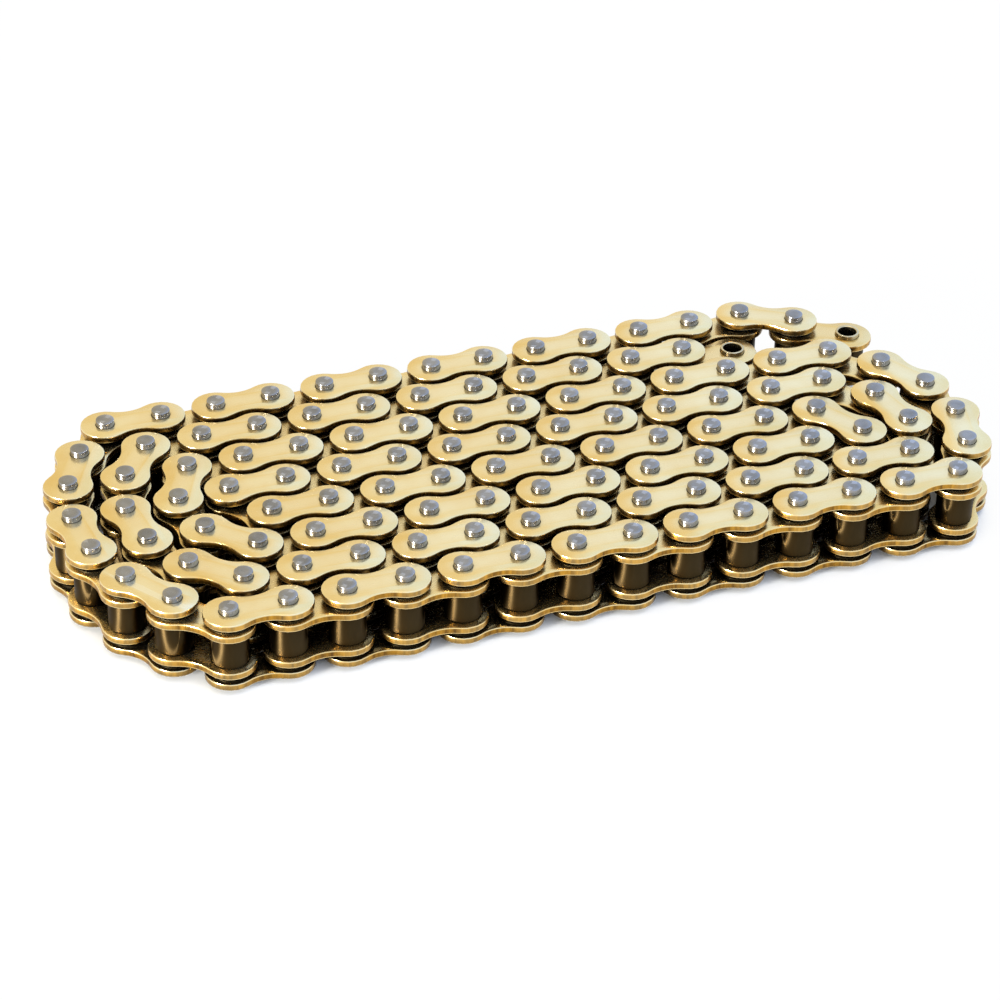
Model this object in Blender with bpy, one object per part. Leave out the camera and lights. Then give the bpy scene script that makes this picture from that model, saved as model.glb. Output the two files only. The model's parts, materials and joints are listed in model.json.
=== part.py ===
import math

import bmesh
import bpy
from mathutils import Vector
from mathutils.geometry import tessellate_polygon

# Sealed roller chain of 5/8 inch pitch, coiled flat on its side.
# Sizes are in millimetres and are turned into metres where points are made.
PITCH = 15.875
INNER_WIDTH = 9.53
PLATE_THICKNESS = 2.0
SEAL_SPACE = 1.5
PIN_PROUD = 1.7
PIN_DIAMETER = 5.1
PIN_CHAMFER = 0.4
# Bush, roller and seal ring lie round one another, each with its running gap.
BUSH_WALL = 1.25
ROLLER_WALL = 1.28
SEAL_WALL = 1.6
BUSH_DIAMETER = PIN_DIAMETER + 2.0 * BUSH_WALL
ROLLER_DIAMETER = BUSH_DIAMETER + 2.0 * ROLLER_WALL
SEAL_DIAMETER = BUSH_DIAMETER + 2.0 * SEAL_WALL
# Plate ends grow with the pitch, so that strands lie clear of each other.
INNER_PLATE_SHARE = 0.42835
OUTER_PLATE_SHARE = 0.4063
INNER_PLATE_RADIUS = PITCH * INNER_PLATE_SHARE
OUTER_PLATE_RADIUS = PITCH * OUTER_PLATE_SHARE
INNER_PLATE_WAIST = 5.2
OUTER_PLATE_WAIST = 4.7

# Clearances: one for what turns, one for what is pressed together.
RUNNING_GAP = 0.3
PRESSED_GAP = 0.15

# The coil: strands lie a triangle's height apart, so that the pins of one
# strand sit half a pitch beside the pins of the next one.
STRAND_STEP = PITCH * math.sqrt(3.0) / 2.0
# Straight stretches from the first free end on: strand number from the back,
# then the places of its first and last pin, in pitches along the strand.
STRETCHES = (
    (2, 4.0, -6.0),
    (7, -5.5, 6.5),
    (4, 6.0, -5.0),
    (5, -4.5, 5.5),
    (6, 6.0, -5.0),
    (3, -5.5, 6.5),
    (8, 7.0, -6.0),
    (1, -6.5, 5.5),
)
# Links in the bend after each stretch, apart from the last one.
BEND_LINKS = (5, 3, 1, 1, 3, 5, 7)
# The last two links lean in toward the coil by this angle.
END_LEAN = math.radians(-30.0)
MIDDLE_STRAND = 4.5

# Links in each run of the resting coil, and in the tail that swings out.
FIRST_RUN_LINKS = 7
RUN_LINKS = (8, 6, 8, 6, 8, 6, 8, 6, 8, 6, 8, 6, 6)
PLAIN_TAIL_LINKS = 17
OPEN_TAIL_LINKS = 4

# Sides of the round pieces and points of the plate outlines.
# The first corner of each round piece lies off the strand's axis by this share
# of a side.
FIRST_CORNER = 0.31
FINE_SIDES = 10
ROLLER_SIDES = 12
SEAL_SIDES = 8
TAIL_SIDES = 6
HEAD_SIDES = 6
COIL_HEAD_SIDES = 5
COIL_ROLLER_SIDES = 4
COIL_CORE_SIDES = 3
FOOT_SIDES = 4
PLAIN_END_POINTS = 4
PLAIN_END_REACH = math.radians(98.0)
FINE_END_POINTS = 7
FINE_WAIST_POINTS = 3

# Heights of the plate faces above the surface that the pin ends rest on.
OUTER_LOW = PIN_PROUD
OUTER_LOW_TOP = OUTER_LOW + PLATE_THICKNESS
INNER_LOW = OUTER_LOW_TOP + SEAL_SPACE
INNER_LOW_TOP = INNER_LOW + PLATE_THICKNESS
INNER_HIGH = INNER_LOW_TOP + INNER_WIDTH
INNER_HIGH_TOP = INNER_HIGH + PLATE_THICKNESS
OUTER_HIGH = INNER_HIGH_TOP + SEAL_SPACE
OUTER_HIGH_TOP = OUTER_HIGH + PLATE_THICKNESS
PIN_TOP = OUTER_HIGH_TOP + PIN_PROUD
BUSH_PROUD = SEAL_SPACE - RUNNING_GAP
BUSH_LOW = INNER_LOW - BUSH_PROUD
BUSH_TOP = INNER_HIGH_TOP + BUSH_PROUD
PIN_RADIUS = PIN_DIAMETER / 2.0
BUSH_RADIUS = BUSH_DIAMETER / 2.0
ROLLER_RADIUS = ROLLER_DIAMETER / 2.0
SEAL_RADIUS = SEAL_DIAMETER / 2.0


def clear_scene():
    for item in list(bpy.data.objects):
        bpy.data.objects.remove(item, do_unlink=True)


def make_material(name, colour, roughness, metallic):
    material = bpy.data.materials.new(name)
    material.use_nodes = True
    shader = material.node_tree.nodes["Principled BSDF"]
    shader.inputs["Base Color"].default_value = (*colour, 1.0)
    shader.inputs["Roughness"].default_value = roughness
    shader.inputs["Metallic"].default_value = metallic
    material.diffuse_color = (*colour, 1.0)
    return material


def make_materials():
    return {
        "outer_plate": make_material("gold_outer_plate", (0.80, 0.58, 0.22), 0.25, 1.0),
        "inner_plate": make_material("gold_inner_plate", (0.62, 0.42, 0.15), 0.30, 1.0),
        "pin": make_material("steel_pin", (0.42, 0.43, 0.46), 0.30, 1.0),
        "bush": make_material("steel_bush", (0.45, 0.42, 0.36), 0.35, 1.0),
        "roller": make_material("steel_roller", (0.30, 0.26, 0.20), 0.28, 1.0),
        "seal": make_material("black_seal", (0.02, 0.02, 0.02), 0.55, 0.0),
    }


def bend_pins(start, end, links, outward):
    """Pins between two points on an arc whose chords are one pitch long."""
    span = end - start
    along = span.normalized()
    ratio = span.length / PITCH
    low = 1e-6
    high = 2.0 * math.pi / links - 1e-6
    for _ in range(80):
        turn = (low + high) / 2.0
        if math.sin(links * turn / 2.0) / math.sin(turn / 2.0) > ratio:
            low = turn
        else:
            high = turn
    radius = PITCH / (2.0 * math.sin(turn / 2.0))
    half = links * turn / 2.0
    side = Vector((-along.y, along.x))
    if side.x * outward < 0.0:
        side = -side
    centre = (start + end) / 2.0 - side * radius * math.cos(half)
    pins = []
    for step in range(1, links):
        angle = -half + step * turn
        pins.append(centre + side * radius * math.cos(angle) + along * radius * math.sin(angle))
    return pins


def strand_point(strand, place):
    return Vector((place * PITCH, (MIDDLE_STRAND - strand) * STRAND_STEP))


def chain_pins():
    """All pin places in order, with the open bush of each free end first and last."""
    pins = []
    for index, (strand, first, last) in enumerate(STRETCHES):
        step = math.copysign(1.0, last - first)
        for count in range(round(abs(last - first)) + 1):
            pins.append(strand_point(strand, first + step * count))
        if index < len(BEND_LINKS):
            strand_next, first_next, _ = STRETCHES[index + 1]
            target = strand_point(strand_next, first_next)
            pins.extend(bend_pins(pins[-1], target, BEND_LINKS[index], step))
    lean = Vector((math.cos(END_LEAN), math.sin(END_LEAN))) * PITCH
    pins.append(pins[-1] + lean)
    open_end = pins[-1] + lean
    open_start = pins[0] + Vector((PITCH, 0.0))
    return pins, open_start, open_end


def least_gap(points):
    """Least room between the plate ends of strands that lie side by side."""
    room = 1e9
    for index, point in enumerate(points):
        for other in points[index + 3:]:
            room = min(room, (point - other).length)
    return room - 2.0 * INNER_PLATE_RADIUS


def circle(centre, radius, sides):
    loop = []
    for step in range(sides):
        angle = 2.0 * math.pi * (step + FIRST_CORNER) / sides
        loop.append((centre.x + radius * math.cos(angle), centre.y + radius * math.sin(angle)))
    return loop


def circle_round(centre, radius, sides):
    """A circle whose flats, not its corners, lie on the radius."""
    return circle(centre, radius / math.cos(math.pi / sides), sides)


def plate_outline(first, second, radius, waist, end_points, waist_points):
    """Two round ends joined by a hollow arc that touches both."""
    half = (second - first).length / 2.0
    hollow = (half * half + waist * waist - radius * radius) / (2.0 * (radius - waist))
    reach = math.atan2(waist + hollow, -half)
    sweep = reach - math.pi / 2.0
    if waist_points < 2:
        reach = PLAIN_END_REACH
    along = (second - first).normalized()
    side = Vector((-along.y, along.x))
    middle = (first + second) / 2.0
    local = []
    for end in (1.0, -1.0):
        for step in range(end_points):
            angle = reach * (2.0 * step / (end_points - 1) - 1.0)
            local.append((end * (half + radius * math.cos(angle)), end * radius * math.sin(angle)))
        for step in range(waist_points):
            angle = sweep * (1.0 - 2.0 * (step + 1) / (waist_points + 1))
            hollow_x = hollow * math.sin(angle)
            hollow_y = waist + hollow - hollow * math.cos(angle)
            local.append((end * hollow_x, end * hollow_y))
    loop = []
    for x, y in local:
        point = middle + along * x + side * y
        loop.append((point.x, point.y))
    return loop


class Shell:
    """Collects the faces of one closed solid around a chosen origin."""

    def __init__(self, origin):
        self.origin = origin
        self.mesh = bmesh.new()
        self.corners = {}

    def corner(self, x, y, z):
        key = (round(x, 4), round(y, 4), round(z, 4))
        if key not in self.corners:
            place = ((x - self.origin.x) * 0.001, (y - self.origin.y) * 0.001, z * 0.001)
            self.corners[key] = self.mesh.verts.new(place)
        return self.corners[key]

    def wall(self, loop, low, high, outward=True):
        for index, start in enumerate(loop):
            end = loop[(index + 1) % len(loop)]
            face = [
                self.corner(*start, low),
                self.corner(*end, low),
                self.corner(*end, high),
                self.corner(*start, high),
            ]
            if not outward:
                face.reverse()
            self.mesh.faces.new(face)

    def slope(self, low_loop, low, high_loop, high):
        count = len(low_loop)
        for index in range(count):
            after = (index + 1) % count
            self.mesh.faces.new((
                self.corner(*low_loop[index], low),
                self.corner(*low_loop[after], low),
                self.corner(*high_loop[after], high),
                self.corner(*high_loop[index], high),
            ))

    def lid(self, loop, holes, height, upward):
        loops = [loop] + list(holes)
        points = [point for part in loops for point in part]
        flat = [[Vector((x, y, 0.0)) for x, y in part] for part in loops]
        for a, b, c in tessellate_polygon(flat):
            pa, pb, pc = points[a], points[b], points[c]
            area = (pb[0] - pa[0]) * (pc[1] - pa[1]) - (pc[0] - pa[0]) * (pb[1] - pa[1])
            face = [self.corner(*pa, height), self.corner(*pb, height), self.corner(*pc, height)]
            if (area > 0.0) != upward:
                face.reverse()
            self.mesh.faces.new(face)

    def slab(self, outline, low, high, holes_below, holes_above):
        self.lid(outline, holes_below, low, False)
        self.wall(outline, low, high)
        self.lid(outline, holes_above, high, True)

    def tube(self, outer, bore, low, high):
        self.lid(outer, [bore], low, False)
        self.wall(outer, low, high)
        self.wall(bore, low, high, False)
        self.lid(outer, [bore], high, True)


def finish(shell, name, material, round_piece, parent=None):
    data = bpy.data.meshes.new(name)
    shell.mesh.to_mesh(data)
    shell.mesh.free()
    if round_piece:
        data.shade_smooth()
        data.set_sharp_from_angle(angle=math.radians(40.0))
    data.materials.append(material)
    item = bpy.data.objects.new(name, data)
    bpy.context.collection.objects.link(item)
    place = Vector((shell.origin.x, shell.origin.y, 0.0)) * 0.001
    item["place"] = place
    if parent is None:
        item.location = place
    else:
        item.parent = parent
        item.location = place - Vector(parent["place"])
    return item


def outer_outline(first, second, end_points, waist_points):
    return plate_outline(
        first, second, OUTER_PLATE_RADIUS, OUTER_PLATE_WAIST, end_points, waist_points)


def inner_outline(first, second, end_points, waist_points):
    return plate_outline(
        first, second, INNER_PLATE_RADIUS, INNER_PLATE_WAIST, end_points, waist_points)


def add_outer_link(shell, pins, joined, head_sides, foot_sides, waist_points):
    """Two outer plates with both pins; a joined pin is one with the inner link beside it."""
    top_outline = outer_outline(*pins, PLAIN_END_POINTS, 1)
    low_outline = outer_outline(*pins, PLAIN_END_POINTS, waist_points)
    heads = [circle(pin, PIN_RADIUS, head_sides) for pin in pins]
    feet = [circle(pin, PIN_RADIUS, foot_sides) for pin in pins]
    cores = []
    for pin, is_joined in zip(pins, joined):
        if is_joined:
            cores.append(circle(pin, BUSH_RADIUS, COIL_CORE_SIDES))
        else:
            cores.append(circle(pin, PIN_RADIUS, TAIL_SIDES))
    shell.slab(low_outline, OUTER_LOW, OUTER_LOW_TOP, feet, cores)
    shell.slab(top_outline, OUTER_HIGH, OUTER_HIGH_TOP, cores, heads)
    for head, foot, core, is_joined in zip(heads, feet, cores, joined):
        shell.lid(foot, [], 0.0, False)
        shell.wall(foot, 0.0, OUTER_LOW)
        shell.wall(head, OUTER_HIGH_TOP, PIN_TOP)
        shell.lid(head, [], PIN_TOP, True)
        if is_joined:
            shell.wall(core, OUTER_LOW_TOP, INNER_LOW)
            shell.wall(core, INNER_HIGH_TOP, OUTER_HIGH)
        else:
            shell.wall(core, OUTER_LOW_TOP, OUTER_HIGH)


def add_inner_link(shell, pins, joined, roller_sides):
    """Two inner plates with bushes and rollers; an end that is not joined has its bore open."""
    outline = inner_outline(*pins, PLAIN_END_POINTS, 1)
    rollers = []
    bushes = []
    bores = []
    for pin, is_joined in zip(pins, joined):
        bores.append(circle_round(pin, PIN_RADIUS + RUNNING_GAP, TAIL_SIDES))
        if is_joined:
            rollers.append(circle(pin, ROLLER_RADIUS, roller_sides))
            bushes.append(circle(pin, BUSH_RADIUS, COIL_CORE_SIDES))
        else:
            rollers.append(circle(pin, ROLLER_RADIUS, TAIL_SIDES))
            bushes.append(circle(pin, BUSH_RADIUS, TAIL_SIDES))
    shell.slab(outline, INNER_LOW, INNER_LOW_TOP, bushes, rollers)
    shell.slab(outline, INNER_HIGH, INNER_HIGH_TOP, rollers, bushes)
    for roller, bush, bore, is_joined in zip(rollers, bushes, bores, joined):
        shell.wall(roller, INNER_LOW_TOP, INNER_HIGH)
        if not is_joined:
            shell.lid(bush, [bore], BUSH_LOW, False)
            shell.wall(bush, BUSH_LOW, INNER_LOW)
            shell.wall(bush, INNER_HIGH_TOP, BUSH_TOP)
            shell.lid(bush, [bore], BUSH_TOP, True)
            shell.wall(bore, BUSH_LOW, BUSH_TOP, False)


def make_run(name, pins, first_link, links, material):
    """A run of links of the resting coil, from one hinge pin to the next."""
    shell = Shell(pins[first_link])
    last_pin = first_link + links
    for link in range(first_link, last_pin):
        ends = (pins[link], pins[link + 1])
        joined = (link != first_link, link + 1 != last_pin)
        if link % 2 == 0:
            add_outer_link(shell, ends, joined, COIL_HEAD_SIDES, COIL_CORE_SIDES, 0)
        else:
            add_inner_link(shell, ends, joined, COIL_ROLLER_SIDES)
    return finish(shell, name, material, False)


def make_plain_link(name, pins, is_outer, material, parent):
    """One whole link as a single solid, hinged at its first pin."""
    shell = Shell(pins[0])
    if is_outer:
        add_outer_link(shell, pins, (False, False), HEAD_SIDES, FOOT_SIDES, 1)
    else:
        add_inner_link(shell, pins, (False, False), TAIL_SIDES)
    return finish(shell, name, material, False, parent)


def make_plate(name, outline, holes, low, high, origin, material, parent):
    shell = Shell(origin)
    shell.slab(outline, low, high, holes, holes)
    for hole in holes:
        shell.wall(hole, low, high, False)
    return finish(shell, name, material, False, parent)


def make_pin(name, pin, origin, material, parent):
    """A plain pin with a small chamfer on both ends."""
    shell = Shell(origin)
    body = circle(pin, PIN_RADIUS, FINE_SIDES)
    end = circle(pin, PIN_RADIUS - PIN_CHAMFER, FINE_SIDES)
    shell.lid(end, [], 0.0, False)
    shell.slope(end, 0.0, body, PIN_CHAMFER)
    shell.wall(body, PIN_CHAMFER, PIN_TOP - PIN_CHAMFER)
    shell.slope(body, PIN_TOP - PIN_CHAMFER, end, PIN_TOP)
    shell.lid(end, [], PIN_TOP, True)
    return finish(shell, name, material, True, parent)


def make_tube(name, outer, bore, low, high, origin, material, parent):
    shell = Shell(origin)
    shell.tube(outer, bore, low, high)
    return finish(shell, name, material, True, parent)


def make_open_outer_link(name, pins, materials, parent):
    """Outer link as separate plates, pins and seal rings, hinged at its first pin."""
    origin = pins[0]
    outline = outer_outline(*pins, FINE_END_POINTS, FINE_WAIST_POINTS)
    holes = [circle(pin, PIN_RADIUS + PRESSED_GAP, FINE_SIDES) for pin in pins]
    base = make_plate(
        name + "_outer_plate_top", outline, holes, OUTER_HIGH, OUTER_HIGH_TOP,
        origin, materials["outer_plate"], parent)
    make_plate(
        name + "_outer_plate_bottom", outline, holes, OUTER_LOW, OUTER_LOW_TOP,
        origin, materials["outer_plate"], base)
    for letter, pin in zip("ab", pins):
        make_pin(name + "_pin_" + letter, pin, origin, materials["pin"], base)
        ring = circle(pin, SEAL_RADIUS, SEAL_SIDES)
        bore = circle_round(pin, BUSH_RADIUS + RUNNING_GAP, SEAL_SIDES)
        for place, low in (("top", INNER_HIGH_TOP), ("bottom", OUTER_LOW_TOP)):
            make_tube(
                name + "_seal_" + letter + "_" + place, ring, bore,
                low + RUNNING_GAP, low + SEAL_SPACE - RUNNING_GAP,
                origin, materials["seal"], base)
    return base


def make_open_inner_link(name, pins, materials, parent):
    """Inner link as separate plates, bushes and rollers, hinged at its first pin."""
    origin = pins[0]
    outline = inner_outline(*pins, FINE_END_POINTS, FINE_WAIST_POINTS)
    holes = [circle(pin, BUSH_RADIUS + PRESSED_GAP, FINE_SIDES) for pin in pins]
    base = make_plate(
        name + "_inner_plate_top", outline, holes, INNER_HIGH, INNER_HIGH_TOP,
        origin, materials["inner_plate"], parent)
    make_plate(
        name + "_inner_plate_bottom", outline, holes, INNER_LOW, INNER_LOW_TOP,
        origin, materials["inner_plate"], base)
    for letter, pin in zip("ab", pins):
        bush = circle(pin, BUSH_RADIUS, FINE_SIDES)
        bore = circle_round(pin, PIN_RADIUS + RUNNING_GAP, FINE_SIDES)
        make_tube(
            name + "_bush_" + letter, bush, bore, BUSH_LOW, BUSH_TOP,
            origin, materials["bush"], base)
        roller = circle(pin, ROLLER_RADIUS, ROLLER_SIDES)
        roller_bore = circle_round(pin, BUSH_RADIUS + RUNNING_GAP, ROLLER_SIDES)
        make_tube(
            name + "_roller_" + letter, roller, roller_bore,
            INNER_LOW_TOP + RUNNING_GAP, INNER_HIGH - RUNNING_GAP,
            pin, materials["roller"], base)
    return base


def centre_on_floor():
    """Moves the whole chain so that its box is centred over the origin."""
    bpy.context.view_layer.update()
    low = Vector((1e9, 1e9))
    high = Vector((-1e9, -1e9))
    for item in bpy.data.objects:
        for corner in item.data.vertices:
            point = item.matrix_world @ corner.co
            low = Vector((min(low.x, point.x), min(low.y, point.y)))
            high = Vector((max(high.x, point.x), max(high.y, point.y)))
    middle = (low + high) / 2.0
    for item in bpy.data.objects:
        if item.parent is None:
            item.location -= Vector((middle.x, middle.y, 0.0))
    return middle


def build_chain():
    clear_scene()
    materials = make_materials()
    pins, open_start, open_end = chain_pins()
    whole = [open_start] + pins + [open_end]
    print("links", len(whole) - 1, "least gap between strands in mm", round(least_gap(whole), 3))

    link = 0
    runs = [make_run("coil_run_01", pins, link, FIRST_RUN_LINKS, materials["outer_plate"])]
    link += FIRST_RUN_LINKS
    for number, links in enumerate(RUN_LINKS, start=2):
        name = "coil_run_%02d" % number
        runs.append(make_run(name, pins, link, links, materials["outer_plate"]))
        link += links

    make_plain_link(
        "start_inner_link", (pins[0], open_start), False, materials["inner_plate"], runs[0])

    tail = pins[link:] + [open_end]
    parent = runs[-1]
    for number in range(1, PLAIN_TAIL_LINKS + OPEN_TAIL_LINKS + 1):
        ends = (tail[number - 1], tail[number])
        is_outer = number % 2 == 0
        kind = "outer" if is_outer else "inner"
        if number <= PLAIN_TAIL_LINKS:
            name = "tail_%02d_%s_link" % (number, kind)
            parent = make_plain_link(name, ends, is_outer, materials[kind + "_plate"], parent)
        elif is_outer:
            parent = make_open_outer_link("tail_%02d" % number, ends, materials, parent)
        else:
            parent = make_open_inner_link("tail_%02d" % number, ends, materials, parent)
    centre_on_floor()


build_chain()
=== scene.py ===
import json
import math

import bpy
import numpy as np
from mathutils import Matrix, Vector
from mathutils.geometry import tessellate_polygon

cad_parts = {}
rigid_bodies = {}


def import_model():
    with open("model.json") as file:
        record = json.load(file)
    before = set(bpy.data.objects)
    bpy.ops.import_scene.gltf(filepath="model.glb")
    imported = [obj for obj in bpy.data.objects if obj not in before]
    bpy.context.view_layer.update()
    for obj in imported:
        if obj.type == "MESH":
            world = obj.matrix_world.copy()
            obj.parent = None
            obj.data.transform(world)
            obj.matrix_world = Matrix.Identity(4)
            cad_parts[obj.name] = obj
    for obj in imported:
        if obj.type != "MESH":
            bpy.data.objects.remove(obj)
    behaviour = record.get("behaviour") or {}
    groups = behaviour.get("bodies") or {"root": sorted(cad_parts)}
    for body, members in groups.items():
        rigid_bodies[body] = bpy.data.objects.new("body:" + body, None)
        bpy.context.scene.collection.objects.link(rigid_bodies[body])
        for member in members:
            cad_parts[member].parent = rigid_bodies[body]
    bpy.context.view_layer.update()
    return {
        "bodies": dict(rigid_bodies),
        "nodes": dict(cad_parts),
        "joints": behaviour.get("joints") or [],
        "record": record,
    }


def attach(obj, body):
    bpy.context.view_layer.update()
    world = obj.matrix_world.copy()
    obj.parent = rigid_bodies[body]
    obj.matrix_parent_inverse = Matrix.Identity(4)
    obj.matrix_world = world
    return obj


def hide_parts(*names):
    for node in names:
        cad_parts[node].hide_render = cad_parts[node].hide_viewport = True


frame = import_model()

print("frame loaded,", len(frame["nodes"]), "nodes")

# all sizes in millimetres until a mesh is made
chain = {
    "pitch": 15.875,
    "innerWidth": 9.53,
    "plateThick": 2.0,
    "sealSpace": 1.5,
    "pinProud": 1.7,
}

# heights of the plate faces over the floor, from the pin ends up
level = {"outerLow": chain["pinProud"]}
level["innerLow"] = level["outerLow"] + chain["plateThick"] + chain["sealSpace"]
level["rollerLow"] = level["innerLow"] + chain["plateThick"]
level["innerHigh"] = level["rollerLow"] + chain["innerWidth"]
level["outerHigh"] = level["innerHigh"] + chain["plateThick"] + chain["sealSpace"]
level["pinTop"] = level["outerHigh"] + chain["plateThick"] + chain["pinProud"]

# the coil: strand number from the back, then its first and last pin in pitches
coil = {
    "stretches": (
        (2, 4.0, -6.0), (7, -5.5, 6.5), (4, 6.0, -5.0), (5, -4.5, 5.5),
        (6, 6.0, -5.0), (3, -5.5, 6.5), (8, 7.0, -6.0), (1, -6.5, 5.5),
    ),
    "bendLinks": (5, 3, 1, 1, 3, 5, 7),
    "middleStrand": 4.5,
    "endLean": -30.0,  # degrees
    "coilLinks": 97,
}


def strandPoint(strand, place):
    step = chain["pitch"] * math.sqrt(3.0) / 2.0
    return Vector((place * chain["pitch"], (coil["middleStrand"] - strand) * step))


def bendPins(start, end, links, outward):
    # chords of one pitch on an arc from start to end; halving finds the turn from link to link
    halvings, sliver = 80, 1e-6
    span = end - start
    along = span.normalized()
    ratio = span.length / chain["pitch"]
    low, high = sliver, 2.0 * math.pi / links - sliver
    for _ in range(halvings):
        turn = (low + high) / 2.0
        if math.sin(links * turn / 2.0) / math.sin(turn / 2.0) > ratio:
            low = turn
        else:
            high = turn
    radius = chain["pitch"] / (2.0 * math.sin(turn / 2.0))
    half = links * turn / 2.0
    side = Vector((-along.y, along.x))
    if side.x * outward < 0.0:
        side = -side
    centre = (start + end) / 2.0 - side * radius * math.cos(half)
    angles = [-half + step * turn for step in range(1, links)]
    return [
        centre + side * radius * math.cos(a) + along * radius * math.sin(a) for a in angles
    ]


def chainPoints():
    points = []
    for index, (strand, first, last) in enumerate(coil["stretches"]):
        step = math.copysign(1.0, last - first)
        for count in range(round(abs(last - first)) + 1):
            points.append(strandPoint(strand, first + step * count))
        if index < len(coil["bendLinks"]):
            nextStrand, nextFirst, _ = coil["stretches"][index + 1]
            target = strandPoint(nextStrand, nextFirst)
            points.extend(bendPins(points[-1], target, coil["bendLinks"][index], step))
    lean = math.radians(coil["endLean"])
    lean = Vector((math.cos(lean), math.sin(lean))) * chain["pitch"]
    points.append(points[-1] + lean)
    points.append(points[-1] + lean)
    points.insert(0, points[0] + Vector((chain["pitch"], 0.0)))
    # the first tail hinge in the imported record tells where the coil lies
    hinge = next(j for j in frame["joints"] if j["name"] == "hinge_01")
    shift = Vector(hinge["pos_m"][:2]) * 1000.0 - points[coil["coilLinks"] + 1]
    return [point + shift for point in points]


# a template is a list of corners, a list of faces and each face's material
cornerShare = 0.3  # where the middle of a rounded corner lies, of the corner's size


def outline(plate, inset):
    half = chain["pitch"] / 2.0
    radius, waist = plate["endRadius"], plate["waist"]
    hollow = (half * half + waist * waist - radius * radius) / (2.0 * (radius - waist))
    centre = waist + hollow
    reach = math.atan2(centre, -half)
    sweep = reach - math.pi / 2.0
    points = []
    for end in (1.0, -1.0):
        for step in range(plate["endSteps"] + 1):
            a = reach * (2.0 * step / plate["endSteps"] - 1.0)
            r = radius - inset
            points.append((end * (half + r * math.cos(a)), end * r * math.sin(a)))
        for step in range(1, plate["waistSteps"]):
            a = sweep * (1.0 - 2.0 * step / plate["waistSteps"])
            r = hollow + inset
            points.append((end * r * math.sin(a), end * (centre - r * math.cos(a))))
    return points


def plateTemplate(plate):
    thick, edge = chain["plateThick"], plate["edge"]
    corners, faces = [], []

    def ring(points, z):
        start = len(corners)
        corners.extend((x, y, z) for x, y in points)
        return list(range(start, len(corners)))

    def bridge(lower, upper):
        for i in range(len(lower)):
            j = (i + 1) % len(lower)
            faces.append((lower[i], lower[j], upper[j], upper[i]))

    # the rounded edge as shares of its size: height, then how far in
    roundOver = ((0.0, 1.0), (cornerShare, cornerShare), (1.0, 0.0))
    rims = []
    for z, inset in roundOver:
        rims.append(ring(outline(plate, edge * inset), edge * z))
    for z, inset in reversed(roundOver):
        rims.append(ring(outline(plate, edge * inset), thick - edge * z))
    for lower, upper in zip(rims, rims[1:]):
        bridge(lower, upper)
    wall = range(2 * len(rims[0]), 3 * len(rims[0]))  # faces of the upright cut edge
    holes = []
    for end in (1.0, -1.0):
        bore = []
        bevel = plate["holeBevel"]
        for z, wider in ((0.0, bevel), (bevel, 0.0), (thick - bevel, 0.0), (thick, bevel)):
            loop = []
            r = plate["holeRadius"] + wider
            for step in range(plate["holeSteps"]):
                a = -2.0 * math.pi * (step + plate["holeStart"]) / plate["holeSteps"]
                loop.append((end * chain["pitch"] / 2.0 + r * math.cos(a), r * math.sin(a)))
            bore.append(ring(loop, z))
        for lower, upper in zip(bore, bore[1:]):
            bridge(lower, upper)
        holes.append(bore)
    for rim, which, upward in ((rims[0], 0, False), (rims[-1], -1, True)):
        loops = [rim, holes[0][which], holes[1][which]]
        flat = [index for loop in loops for index in loop]
        shapes = [[Vector((*corners[i][:2], 0.0)) for i in loop] for loop in loops]
        for triple in tessellate_polygon(shapes):
            a, b, c = (flat[i] for i in triple)
            pa, pb, pc = corners[a], corners[b], corners[c]
            area = (
                (pb[0] - pa[0]) * (pc[1] - pa[1]) - (pc[0] - pa[0]) * (pb[1] - pa[1]))
            faces.append((a, b, c) if (area > 0.0) == upward else (a, c, b))
    return corners, faces, [1 if index in wall else 0 for index in range(len(faces))]


def turnedTemplate(profile, steps, closed):
    # profile of (radius, height); a closed one makes a ring, an open one gets end caps
    corners, faces = [], []
    for step in range(steps):
        a = 2.0 * math.pi * step / steps
        corners.extend((r * math.cos(a), r * math.sin(a), z) for r, z in profile)
    count = len(profile)
    for step in range(steps):
        here, there = step * count, (step + 1) % steps * count
        for i in range(count if closed else count - 1):
            j = (i + 1) % count
            faces.append((here + i, there + i, there + j, here + j))
    if not closed:
        faces.append(tuple(step * count for step in reversed(range(steps))))
        faces.append(tuple(step * count + count - 1 for step in range(steps)))
    return corners, faces, [0] * len(faces)


# holeStart turns a hole's corners by a share of a step
outerPlate = {
    "endRadius": 6.85, "waist": 4.85, "edge": 0.35, "holeRadius": 2.62,
    "holeBevel": 0.12, "holeStart": 0.3, "endSteps": 16, "waistSteps": 8, "holeSteps": 24,
}
innerPlate = {
    "endRadius": 7.0, "waist": 5.2, "edge": 0.35, "holeRadius": 3.5,
    "holeBevel": 0.12, "holeStart": 0.3, "endSteps": 16, "waistSteps": 8, "holeSteps": 24,
}
pin = {"radius": 2.55, "edge": 0.22, "dish": 0.03, "dishShare": 0.45, "edgeLift": 0.25, "steps": 28}
bush = {"radius": 3.44, "bore": 2.68, "proud": 1.2, "edge": 0.18, "steps": 28}
roller = {"radius": 5.08, "bore": 3.6, "play": 0.12, "edge": 0.45, "steps": 32}
seal = {"radius": 5.2, "bore": 3.6, "play": 0.06, "steps": 28, "round": 10}


def pinTemplate():
    r, e, top = pin["radius"], pin["edge"], level["pinTop"]
    end = [
        (r * pin["dishShare"], pin["dish"]), (r - e, 0.0),
        (r - e * cornerShare, e * pin["edgeLift"]), (r, e),
    ]
    profile = end + [(radius, top - z) for radius, z in reversed(end)]
    return turnedTemplate(profile, pin["steps"], False)


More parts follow.
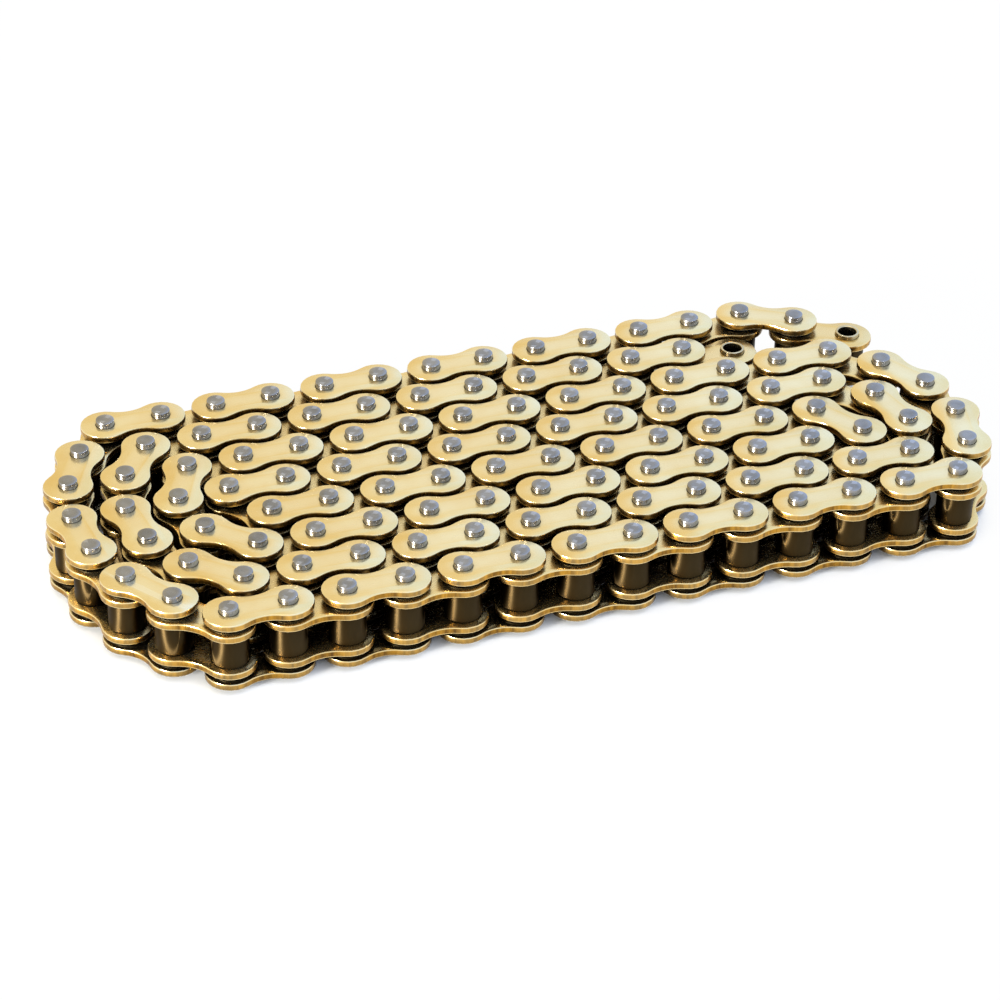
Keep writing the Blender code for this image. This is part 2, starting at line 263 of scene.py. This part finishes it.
def tubeTemplate(radius, bore, low, high, edge, steps):
    e, part = edge, cornerShare * edge
    profile = [
        (bore + e, low), (radius - e, low), (radius - part, low + part), (radius, low + e),
        (radius, high - e), (radius - part, high - part), (radius - e, high),
        (bore + e, high), (bore, high - e), (bore, low + e),
    ]
    return turnedTemplate(profile, steps, True)


def sealTemplate():
    # a ring of round section, a little squeezed between the plates
    width = (seal["radius"] - seal["bore"]) / 2.0
    tall = chain["sealSpace"] / 2.0 - seal["play"]
    middle = seal["bore"] + width
    profile = []
    for step in range(seal["round"]):
        a = 2.0 * math.pi * step / seal["round"]
        profile.append((middle + width * math.cos(a), tall + seal["play"] + tall * math.sin(a)))
    return turnedTemplate(profile, seal["steps"], True)


bushLow = level["innerLow"] - bush["proud"]
bushHigh = level["innerHigh"] + chain["plateThick"] + bush["proud"]
templates = {
    "outerPlates": plateTemplate(outerPlate),
    "innerPlates": plateTemplate(innerPlate),
    "pins": pinTemplate(),
    "bushes": tubeTemplate(
        bush["radius"], bush["bore"], bushLow, bushHigh, bush["edge"], bush["steps"]),
    "rollers": tubeTemplate(
        roller["radius"], roller["bore"], level["rollerLow"] + roller["play"],
        level["innerHigh"] - roller["play"], roller["edge"], roller["steps"]),
    "seals": sealTemplate(),
}
print("templates made")


def linearColour(text):
    # sRGB hex to linear
    parts = [int(text[i:i + 2], 16) / 255.0 for i in (1, 3, 5)]
    linear = [c / 12.92 if c <= 0.04045 else ((c + 0.055) / 1.055) ** 2.4 for c in parts]
    return (*linear, 1.0)


def addNode(tree, kind, links=None, values=None, **settings):
    node = tree.nodes.new(kind)
    for name, value in settings.items():
        setattr(node, name, value)
    for name, value in (values or {}).items():
        node.inputs[name].default_value = value
    for name, (source, output) in (links or {}).items():
        tree.links.new(source.outputs[output], node.inputs[name])
    return node


# a Mix node's colour sockets share their names with its float ones, so they go by number
mixFirst, mixSecond, mixOut = 6, 7, 2

# what all metals here share
metal = {
    "drift": (0.3, 0.7),  # the part of the noise that spans two tones, or two roughnesses
    "pointedness": (0.52, 0.60),  # where an edge starts to take its wear and painted highlight, and where it takes them fully
    "paintedShadeStart": 0.2,  # openness at which a gap takes its full painted shade
    "paintedShadeSamples": 6,
    "layTurn": 0.25,  # a quarter turn: a glint stands upright, across marks that run round
    "markMm": 0.05,  # depth of the fine marks
}


def metalMaterial(finish):
    # one build for bare and plated metal: tone drift, light edges of wear and painted highlight,
    # painted shade in gaps, fine marks
    material = bpy.data.materials.new(finish["name"])
    material.use_nodes = True
    tree = material.node_tree
    shader = tree.nodes["Principled BSDF"]
    shader.inputs["Metallic"].default_value = 1.0
    shader.inputs["Anisotropic"].default_value = finish["lay"]
    shader.inputs["Anisotropic Rotation"].default_value = metal["layTurn"]
    driftLow, driftHigh = metal["drift"]
    edgeStart, edgeEnd = metal["pointedness"]
    roughLow, roughHigh = finish["rough"]
    place = addNode(tree, "ShaderNodeTexCoord")
    stretch = addNode(
        tree, "ShaderNodeMapping", {"Vector": (place, "Object")},
        {"Scale": (1.0, 1.0, finish["stretch"])})
    drift = addNode(
        tree, "ShaderNodeTexNoise", {"Vector": (stretch, "Vector")},
        {"Scale": 1000.0 / finish["driftMm"], "Detail": 3.0, "Roughness": 0.55})
    spread = addNode(
        tree, "ShaderNodeMapRange", {"Value": (drift, "Fac")},
        {"From Min": driftLow, "From Max": driftHigh})
    tone = addNode(
        tree, "ShaderNodeMix", {"Factor": (spread, "Result")},
        {mixFirst: linearColour(finish["deep"]), mixSecond: linearColour(finish["light"])},
        data_type="RGBA")
    # wear and painted highlight: a paler colour laid on sharp edges
    shape = addNode(tree, "ShaderNodeNewGeometry")
    edge = addNode(
        tree, "ShaderNodeMapRange", {"Value": (shape, "Pointiness")},
        {"From Min": edgeStart, "From Max": edgeEnd, "To Max": finish["edgeWearAndHighlightAmount"]})
    wornAndHighlighted = addNode(
        tree, "ShaderNodeMix", {"Factor": (edge, "Result"), mixFirst: (tone, mixOut)},
        {mixSecond: linearColour(finish["edgeWearAndHighlightColour"])}, data_type="RGBA")
    # painted shade: an oil-brown colour laid into gaps, darker the more closed in a point is
    gap = addNode(
        tree, "ShaderNodeAmbientOcclusion", None,
        {"Distance": finish["gapMm"] / 1000.0}, samples=metal["paintedShadeSamples"])
    paintedShade = addNode(
        tree, "ShaderNodeMapRange", {"Value": (gap, "AO")},
        {"From Min": metal["paintedShadeStart"], "From Max": finish["paintedShadeEnd"],
         "To Min": finish["paintedShade"], "To Max": 0.0})
    withPaintedShade = addNode(
        tree, "ShaderNodeMix", {"Factor": (paintedShade, "Result"), mixFirst: (wornAndHighlighted, mixOut)},
        {mixSecond: linearColour(finish["paintedShadeColour"])}, data_type="RGBA")
    tree.links.new(withPaintedShade.outputs[mixOut], shader.inputs["Base Color"])
    grain = addNode(
        tree, "ShaderNodeTexNoise", {"Vector": (stretch, "Vector")},
        {"Scale": 1000.0 / finish["grainMm"], "Detail": 4.0, "Roughness": 0.65})
    rough = addNode(
        tree, "ShaderNodeMapRange", {"Value": (grain, "Fac")},
        {"From Min": driftLow, "From Max": driftHigh, "To Min": roughLow, "To Max": roughHigh})
    tree.links.new(rough.outputs["Result"], shader.inputs["Roughness"])
    bump = addNode(
        tree, "ShaderNodeBump", {"Height": (grain, "Fac")},
        {"Strength": finish["bump"], "Distance": metal["markMm"] / 1000.0})
    tree.links.new(bump.outputs["Normal"], shader.inputs["Normal"])
    return material


# lay is how far ground marks draw a glint out, gapMm how far round a point the painted shade in
# gaps looks, and the shade's end value the openness at which a gap is clear of painted shade
# real grain is finer than grainMm says; it is drawn coarser so that it shows

# bright gold plating on tumbled steel: pale warm mirror with light edges of wear and painted
# highlight
goldPlating = {
    "name": "goldPlatedSteel", "deep": "#f0cb78", "light": "#f9e3a8",
    "edgeWearAndHighlightColour": "#fff6d6", "edgeWearAndHighlightAmount": 0.7, "driftMm": 18.0, "grainMm": 1.4, "stretch": 1.0,
    "rough": (0.20, 0.28), "bump": 0.05, "lay": 0.0,
    "gapMm": 11.0, "paintedShade": 0.85, "paintedShadeEnd": 0.75, "paintedShadeColour": "#2a1606",
}
# the inner plates take the same plating, a little deeper, with more painted shade low in the gaps
innerGold = {
    "name": "goldPlatedInnerSteel", "deep": "#edc26a", "light": "#f8dfa0",
    "edgeWearAndHighlightColour": "#fff2c8", "edgeWearAndHighlightAmount": 0.7, "driftMm": 24.0, "grainMm": 1.2, "stretch": 1.0,
    "rough": (0.22, 0.32), "bump": 0.05, "lay": 0.0,
    "gapMm": 22.0, "paintedShade": 0.97, "paintedShadeEnd": 0.32, "paintedShadeColour": "#1c0d04",
}
# blanked plate edge under the plating: upright shear marks, in a deeper brownish gold that is
# painted shade on the upright faces
cutEdgeGold = {
    "name": "goldPlatedCutEdge", "deep": "#5e3808", "light": "#d49a2e",
    "edgeWearAndHighlightColour": "#f6dc98", "edgeWearAndHighlightAmount": 0.5, "driftMm": 1.6, "grainMm": 0.5, "stretch": 0.12,
    "rough": (0.24, 0.42), "bump": 0.15, "lay": 0.0,
    "gapMm": 11.0, "paintedShade": 0.9, "paintedShadeEnd": 0.75, "paintedShadeColour": "#2a1606",
}
# ground and riveted pin steel: cool grey with satin ends
pinSteel = {
    "name": "groundPinSteel", "deep": "#868482", "light": "#a3a09d",
    "edgeWearAndHighlightColour": "#c9cbd3", "edgeWearAndHighlightAmount": 0.5, "driftMm": 6.0, "grainMm": 0.7, "stretch": 0.4,
    "rough": (0.20, 0.30), "bump": 0.015, "lay": 0.0,
    "gapMm": 11.0, "paintedShade": 0.8, "paintedShadeEnd": 0.75, "paintedShadeColour": "#1c1712",
}
# drawn bush steel: straw tint, light at the rim from wear and painted highlight
bushSteel = {
    "name": "drawnBushSteel", "deep": "#b9a374", "light": "#d3c196",
    "edgeWearAndHighlightColour": "#f3e8c6", "edgeWearAndHighlightAmount": 0.6, "driftMm": 8.0, "grainMm": 0.6, "stretch": 0.4,
    "rough": (0.22, 0.36), "bump": 0.05, "lay": 0.0,
    "gapMm": 11.0, "paintedShade": 0.9, "paintedShadeEnd": 0.75, "paintedShadeColour": "#181009",
}
# oiled case-hardened rollers, ground round, with an upright glint; their near-black tone is painted
# shade
rollerSteel = {
    "name": "shadePaintedRollerSteel", "deep": "#0f0b07", "light": "#221c13",
    "edgeWearAndHighlightColour": "#8c7144", "edgeWearAndHighlightAmount": 0.5, "driftMm": 5.0, "grainMm": 0.9, "stretch": 0.3,
    "rough": (0.44, 0.52), "bump": 0.04, "lay": 0.95,
    "gapMm": 11.0, "paintedShade": 0.9, "paintedShadeEnd": 0.75, "paintedShadeColour": "#0e0704",
}
# greased nitrile rubber: near black, soft sheen, fine pits
sealRubber = {
    "name": "nitrileRubber", "deep": "#0b0a0a", "light": "#1b1917", "ior": 1.52,
    "rough": (0.4, 0.62), "pitMm": 0.4, "pitDeepMm": 0.1, "bump": 0.2,
}


def rubberMaterial(finish):
    material = bpy.data.materials.new(finish["name"])
    material.use_nodes = True
    tree = material.node_tree
    shader = tree.nodes["Principled BSDF"]
    shader.inputs["IOR"].default_value = finish["ior"]
    roughLow, roughHigh = finish["rough"]
    place = addNode(tree, "ShaderNodeTexCoord")
    pits = addNode(
        tree, "ShaderNodeTexNoise", {"Vector": (place, "Object")},
        {"Scale": 1000.0 / finish["pitMm"], "Detail": 3.0})
    tone = addNode(
        tree, "ShaderNodeMix", {"Factor": (pits, "Fac")},
        {mixFirst: linearColour(finish["deep"]), mixSecond: linearColour(finish["light"])},
        data_type="RGBA")
    tree.links.new(tone.outputs[mixOut], shader.inputs["Base Color"])
    rough = addNode(
        tree, "ShaderNodeMapRange", {"Value": (pits, "Fac")},
        {"To Min": roughLow, "To Max": roughHigh})
    tree.links.new(rough.outputs["Result"], shader.inputs["Roughness"])
    bump = addNode(
        tree, "ShaderNodeBump", {"Height": (pits, "Fac")},
        {"Strength": finish["bump"], "Distance": finish["pitDeepMm"] / 1000.0})
    tree.links.new(bump.outputs["Normal"], shader.inputs["Normal"])
    return material


# the cut edge's deeper tone is painted shade on the plates' upright faces
cutEdge = metalMaterial(cutEdgeGold)
materials = {
    "outerPlates": (metalMaterial(goldPlating), cutEdge),
    "innerPlates": (metalMaterial(innerGold), cutEdge),
    "pins": (metalMaterial(pinSteel),),
    "bushes": (metalMaterial(bushSteel),),
    "rollers": (metalMaterial(rollerSteel),),
    "seals": (rubberMaterial(sealRubber),),
}
print("materials made")


def linkBodies(count):
    # the body that each link rides on, from the start link to the last tail link
    names = ["start_link"] + ["coil"] * coil["coilLinks"]
    names += ["tail_%02d" % (number + 1) for number in range(count - len(names))]
    return names


def sortPieces(points):
    # (body, kind) to a list of (turn, x, y, lift)
    store = {}

    def put(body, kind, spot, turn=0.0, lift=0.0):
        store.setdefault((body, kind), []).append((turn, spot.x, spot.y, lift))

    for index, body in enumerate(linkBodies(len(points) - 1)):
        first, second = points[index], points[index + 1]
        middle = (first + second) / 2.0
        turn = math.atan2(second.y - first.y, second.x - first.x)
        if index % 2:
            put(body, "outerPlates", middle, turn, level["outerLow"])
            put(body, "outerPlates", middle, turn, level["outerHigh"])
            for spot in (first, second):
                put(body, "pins", spot, turn)
                put(body, "seals", spot, turn, level["outerLow"] + chain["plateThick"])
                put(body, "seals", spot, turn, level["innerHigh"] + chain["plateThick"])
        else:
            put(body, "innerPlates", middle, turn, level["innerLow"])
            put(body, "innerPlates", middle, turn, level["innerHigh"])
            for letter, spot in zip("ab", (first, second)):
                put(body, "bushes", spot, turn)
                own = "%s_roller_%s" % (body, letter)
                put(own if own in frame["bodies"] else body, "rollers", spot, turn)
    return store


sharpAngle = math.radians(32.0)  # edges sharper than this stay crisp


def buildPiece(body, kind, places):
    corners, faces, marks = templates[kind]
    base = np.array(corners)
    allCorners, allFaces = [], []
    for turn, x, y, lift in places:
        start = len(allCorners) * len(base)
        c, s = math.cos(turn), math.sin(turn)
        moved = np.empty_like(base)
        moved[:, 0] = base[:, 0] * c - base[:, 1] * s + x
        moved[:, 1] = base[:, 0] * s + base[:, 1] * c + y
        moved[:, 2] = base[:, 2] + lift
        allCorners.append(moved * 0.001)  # to metres
        allFaces.extend(tuple(i + start for i in face) for face in faces)
    mesh = bpy.data.meshes.new(body + "_" + kind)
    mesh.from_pydata(np.concatenate(allCorners).tolist(), [], allFaces)
    mesh.shade_smooth()
    mesh.set_sharp_from_angle(angle=sharpAngle)
    for material in materials[kind]:
        mesh.materials.append(material)
    mesh.polygons.foreach_set("material_index", marks * len(places))
    piece = bpy.data.objects.new(body + "_" + kind, mesh)
    bpy.context.scene.collection.objects.link(piece)
    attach(piece, body)
    return piece


nodeWords = {"pins": "_pin_", "seals": "_seal_", "bushes": "_bush_", "rollers": "_roller_"}


def replaceNodes(body, kind, piece):
    # plates stand for whole links too; the rest stands for its own nodes
    word = nodeWords.get(kind)
    members = frame["record"]["behaviour"]["bodies"][body]
    loose = [n for n in members if any(w in n for w in nodeWords.values())]
    if word is None:
        mine = [n for n in members if n not in loose]
    else:
        mine = [n for n in loose if word in n]
    if mine:
        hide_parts(*mine)


points = chainPoints()
made = 0
for (body, kind), places in sortPieces(points).items():
    replaceNodes(body, kind, buildPiece(body, kind, places))
    made += len(places)
print("chain built,", len(points) - 1, "links,", made, "pieces")


# plain white paper floor that keeps a soft shadow close to the chain and under it
floorSet = {
    "colour": "#f4f4f2", "halfSize": 6.0, "drop": 0.0002, "whiteShare": 0.96,
    "shadowReach": 0.03, "shadow": (0.3, 0.62), "shadowSamples": 8,
    "fibresPerMm": 0.9, "fibreDeepMm": 0.2, "bump": 0.03,  # coarser than paper, to show
}


def makeFloor():
    half = floorSet["halfSize"]
    shadowFull, shadowNone = floorSet["shadow"]  # openness under the chain and clear of it
    mesh = bpy.data.meshes.new("paperFloor")
    corners = [(-half, -half, 0), (half, -half, 0), (half, half, 0), (-half, half, 0)]
    mesh.from_pydata(corners, [], [(0, 1, 2, 3)])
    floor = bpy.data.objects.new("paperFloor", mesh)
    floor.location.z = -floorSet["drop"]
    bpy.context.scene.collection.objects.link(floor)
    material = bpy.data.materials.new("whitePaper")
    material.use_nodes = True
    tree = material.node_tree
    tree.nodes.clear()
    place = addNode(tree, "ShaderNodeTexCoord")
    fibre = addNode(
        tree, "ShaderNodeTexNoise", {"Vector": (place, "Object")},
        {"Scale": 1000.0 * floorSet["fibresPerMm"], "Detail": 2.0})
    bump = addNode(
        tree, "ShaderNodeBump", {"Height": (fibre, "Fac")},
        {"Strength": floorSet["bump"], "Distance": floorSet["fibreDeepMm"] / 1000.0})
    paper = addNode(
        tree, "ShaderNodeBsdfDiffuse", {"Normal": (bump, "Normal")},
        {"Color": linearColour(floorSet["colour"])})
    white = addNode(
        tree, "ShaderNodeEmission", None, {"Color": (1, 1, 1, 1), "Strength": 1.0})
    ray = addNode(tree, "ShaderNodeLightPath")
    seen = addNode(
        tree, "ShaderNodeMath", {0: (ray, "Is Camera Ray"), 1: (ray, "Is Glossy Ray")},
        operation="MAXIMUM")
    seen = addNode(
        tree, "ShaderNodeMath", {0: (seen, "Value"), 1: (ray, "Is Transmission Ray")},
        operation="MAXIMUM")
    share = addNode(
        tree, "ShaderNodeMath", {0: (seen, "Value")}, {1: floorSet["whiteShare"]},
        operation="MULTIPLY")
    gap = addNode(
        tree, "ShaderNodeAmbientOcclusion", None, {"Distance": floorSet["shadowReach"]},
        samples=floorSet["shadowSamples"])
    clear = addNode(
        tree, "ShaderNodeMapRange", {"Value": (gap, "AO")},
        {"From Min": shadowFull, "From Max": shadowNone})
    share = addNode(
        tree, "ShaderNodeMath", {0: (share, "Value"), 1: (clear, "Result")},
        operation="MULTIPLY")
    mix = addNode(
        tree, "ShaderNodeMixShader",
        {0: (share, "Value"), 1: (paper, "BSDF"), 2: (white, "Emission")})
    addNode(tree, "ShaderNodeOutputMaterial", {"Surface": (mix, "Shader")})
    mesh.materials.append(material)


# soft room: warm and dimmer to the left, cool window light to the right
room = {
    "left": "#fff5d8", "right": "#c8dcff", "leftLevel": 0.88, "rightLevel": 1.45,
    "edge": 0.22, "across": (0.938, -0.345, 0.0),  # from left to right in the picture
}
lamps = (
    {
        "name": "topSoftbox", "at": (-0.2, -0.3, 1.1), "aim": (0.0, 0.0, 0.0),
        "size": (1.2, 1.2), "watts": 3.0,
    },
    {
        "name": "leftStrip", "at": (-1.0, -0.45, 0.2), "aim": (0.0, 0.0, 0.01),
        "size": (0.2, 0.35), "watts": 28.0,
    },
)


def makeLight():
    world = bpy.data.worlds.new("softRoom")
    bpy.context.scene.world = world
    world.use_nodes = True
    tree = world.node_tree
    tree.nodes.clear()
    place = addNode(tree, "ShaderNodeTexCoord")
    across = addNode(
        tree, "ShaderNodeVectorMath", {0: (place, "Generated")}, {1: room["across"]},
        operation="DOT_PRODUCT")
    fade = addNode(
        tree, "ShaderNodeMapRange", {"Value": (across, "Value")},
        {"From Min": -room["edge"], "From Max": room["edge"]}, interpolation_type="SMOOTHSTEP")
    tint = addNode(
        tree, "ShaderNodeMix", {"Factor": (fade, "Result")},
        {mixFirst: linearColour(room["left"]), mixSecond: linearColour(room["right"])},
        data_type="RGBA")
    strength = addNode(
        tree, "ShaderNodeMapRange", {"Value": (fade, "Result")},
        {"To Min": room["leftLevel"], "To Max": room["rightLevel"]})
    back = addNode(
        tree, "ShaderNodeBackground",
        {"Color": (tint, mixOut), "Strength": (strength, "Result")})
    addNode(tree, "ShaderNodeOutputWorld", {"Surface": (back, "Background")})
    for lamp in lamps:
        data = bpy.data.lights.new(lamp["name"], "AREA")
        data.shape = "RECTANGLE"
        data.size, data.size_y = lamp["size"]
        data.energy = lamp["watts"]
        item = bpy.data.objects.new(lamp["name"], data)
        item.location = lamp["at"]
        item.rotation_mode = "QUATERNION"
        toward = Vector(lamp["aim"]) - Vector(lamp["at"])
        item.rotation_quaternion = toward.to_track_quat("-Z", "Y")
        bpy.context.scene.collection.objects.link(item)


# the photograph's view, solved on the places of the pin ends
camera = {
    "azimuth": -20.21, "elevation": 33.80, "roll": 0.917, "distance": 0.9282,
    "target": (-0.01379, -0.02451, 0.02393), "lens": 124.88, "sensor": 36.0,
    "clip": (0.05, 50.0),
}


def makeCamera():
    a, e, r = (math.radians(camera[k]) for k in ("azimuth", "elevation", "roll"))
    back = Vector((math.sin(a) * math.cos(e), -math.cos(a) * math.cos(e), math.sin(e)))
    right = (-back).cross(Vector((0, 0, 1))).normalized()
    up = right.cross(-back)
    turned = right * math.cos(r) + up * math.sin(r)
    up = up * math.cos(r) - right * math.sin(r)
    data = bpy.data.cameras.new("photoCamera")
    data.sensor_width = camera["sensor"]
    data.lens = camera["lens"]
    data.clip_start, data.clip_end = camera["clip"]
    item = bpy.data.objects.new("photoCamera", data)
    pose = Matrix((turned, up, back)).transposed().to_4x4()
    pose.translation = Vector(camera["target"]) + back * camera["distance"]
    item.matrix_world = pose
    bpy.context.scene.collection.objects.link(item)
    bpy.context.scene.camera = item


makeFloor()
makeLight()
makeCamera()
bpy.context.scene.view_settings.view_transform = "Standard"
print("floor, light and camera set")
